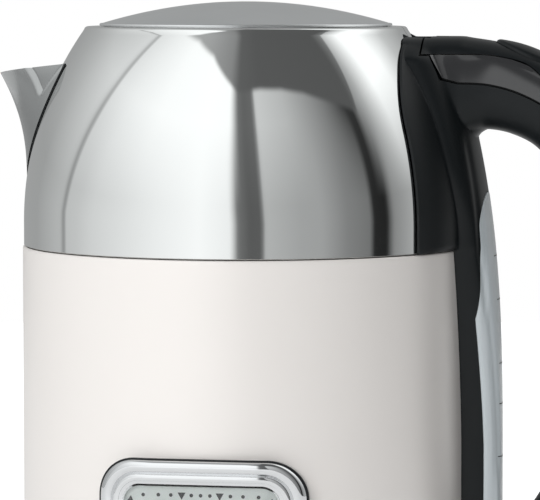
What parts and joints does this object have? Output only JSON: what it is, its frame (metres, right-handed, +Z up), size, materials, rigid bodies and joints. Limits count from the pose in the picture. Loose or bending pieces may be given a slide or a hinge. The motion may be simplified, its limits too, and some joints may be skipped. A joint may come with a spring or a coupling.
{
  "type": "electric kettle",
  "caption": "Cordless electric kettle with a painted steel body, bright domed top, front temperature gauge, hollow loop handle, sprung lid and power base.",
  "frame": {"origin": "on the table, at the centre of the power base's underside, on the vessel's axis", "axes": "+Z up the vessel's axis, +X towards the handle, -X towards the spout, -Y towards the gauge"},
  "size_m": [0.2314, 0.1646, 0.2483],
  "materials": {
    "polished_steel": "polished",
    "brushed_steel": "satin",
    "chrome_trim": "mirror plated",
    "cream_paint": "satin enamel",
    "black_plastic": "satin",
    "gloss_black": "gloss",
    "rubber": "matt",
    "silicone": "matt",
    "brass": "stamped",
    "diffuser_aluminium": "milled",
    "fastener_steel": "zinc plated",
    "clear_glass": "clear",
    "window_plastic": "smoked clear plastic",
    "dial_white": "printed",
    "needle_paint": "satin"
  },
  "bodies": {
    "power_base": {"base_cover": "black_plastic", "base_trim_ring": "chrome_trim", "base_plate": "black_plastic", "base_foot_1": "rubber", "base_foot_2": "rubber", "base_foot_3": "rubber", "base_screw_1": "fastener_steel", "base_screw_2": "fastener_steel", "base_screw_3": "fastener_steel", "base_socket": "black_plastic", "socket_contact_outer": "brass", "socket_contact_inner": "brass", "cord_gland": "rubber"},
    "swivel": {"centring_ring": "black_plastic"},
    "kettle": {"body_shell": "polished_steel", "painted_sleeve": "cream_paint", "skirt_ring": "chrome_trim", "kettle_bottom": "black_plastic", "bottom_screw_1": "fastener_steel", "bottom_screw_2": "fastener_steel", "bottom_screw_3": "fastener_steel", "heater_plate": "brushed_steel", "heat_diffuser": "diffuser_aluminium", "heating_element": "brushed_steel", "kettle_connector": "black_plastic", "connector_pin": "brass", "connector_sleeve": "brass", "control_unit": "black_plastic", "bimetal_disc": "brass", "steam_tube": "silicone", "spout": "polished_steel", "filter_frame": "black_plastic", "filter_mesh": "brushed_steel", "gauge_bezel": "chrome_trim", "gauge_lens": "clear_glass", "gauge_dial": "dial_white", "gauge_cup": "brushed_steel", "gauge_coil": "brass", "handle_body": "black_plastic", "handle_top_cover": "black_plastic", "handle_inlay_left": "gloss_black", "handle_inlay_right": "gloss_black", "water_window": "window_plastic", "window_seal": "rubber", "handle_screw": "fastener_steel", "hinge_bracket": "black_plastic", "hinge_pin": "fastener_steel", "lid_spring": "fastener_steel"},
    "needle": {"gauge_needle": "needle_paint"},
    "lid": {"lid_cap": "brushed_steel", "lid_inner": "black_plastic", "lid_seal": "silicone", "lid_arm": "black_plastic"},
    "lid_button": {"lid_button": "black_plastic"},
    "latch": {"latch_bolt": "black_plastic"},
    "switch": {"switch_lever": "black_plastic", "lamp_lens": "window_plastic"}
  },
  "joints": [
    {"name": "kettle_swivel", "type": "hinge", "parent": "power_base", "child": "swivel", "pos_m": [0, 0, 0], "axis": [0, 0, 1], "continuous": true},
    {"name": "kettle_lift", "type": "slide", "parent": "swivel", "child": "kettle", "axis": [0, 0, 1], "range_m": [0, 0.06]},
    {"name": "needle_turn", "type": "hinge", "parent": "kettle", "child": "needle", "pos_m": [0, -0.0793, 0.066], "axis": [0, 1, 0], "range_deg": [-32.8, 131.2], "stiffness_Nm_per_rad": 0.002},
    {"name": "lid_hinge", "type": "hinge", "parent": "kettle", "child": "lid", "pos_m": [0.05882, 0, 0.231], "axis": [0, 1, 0], "range_deg": [0, 75]},
    {"name": "button_press", "type": "slide", "parent": "kettle", "child": "lid_button", "axis": [0, 0, -1], "range_m": [0, 0.003], "stiffness_N_per_m": 300},
    {"name": "latch_slide", "type": "slide", "parent": "kettle", "child": "latch", "axis": [1, 0, 0], "range_m": [0, 0.003]},
    {"name": "switch_rock", "type": "hinge", "parent": "kettle", "child": "switch", "pos_m": [0.0872, 0, 0.0375], "axis": [0, 1, 0], "range_deg": [0, 16]}
  ],
  "couplings": [
    {"joint": "latch_slide", "follows": "button_press", "ratio": 1}
  ]
}
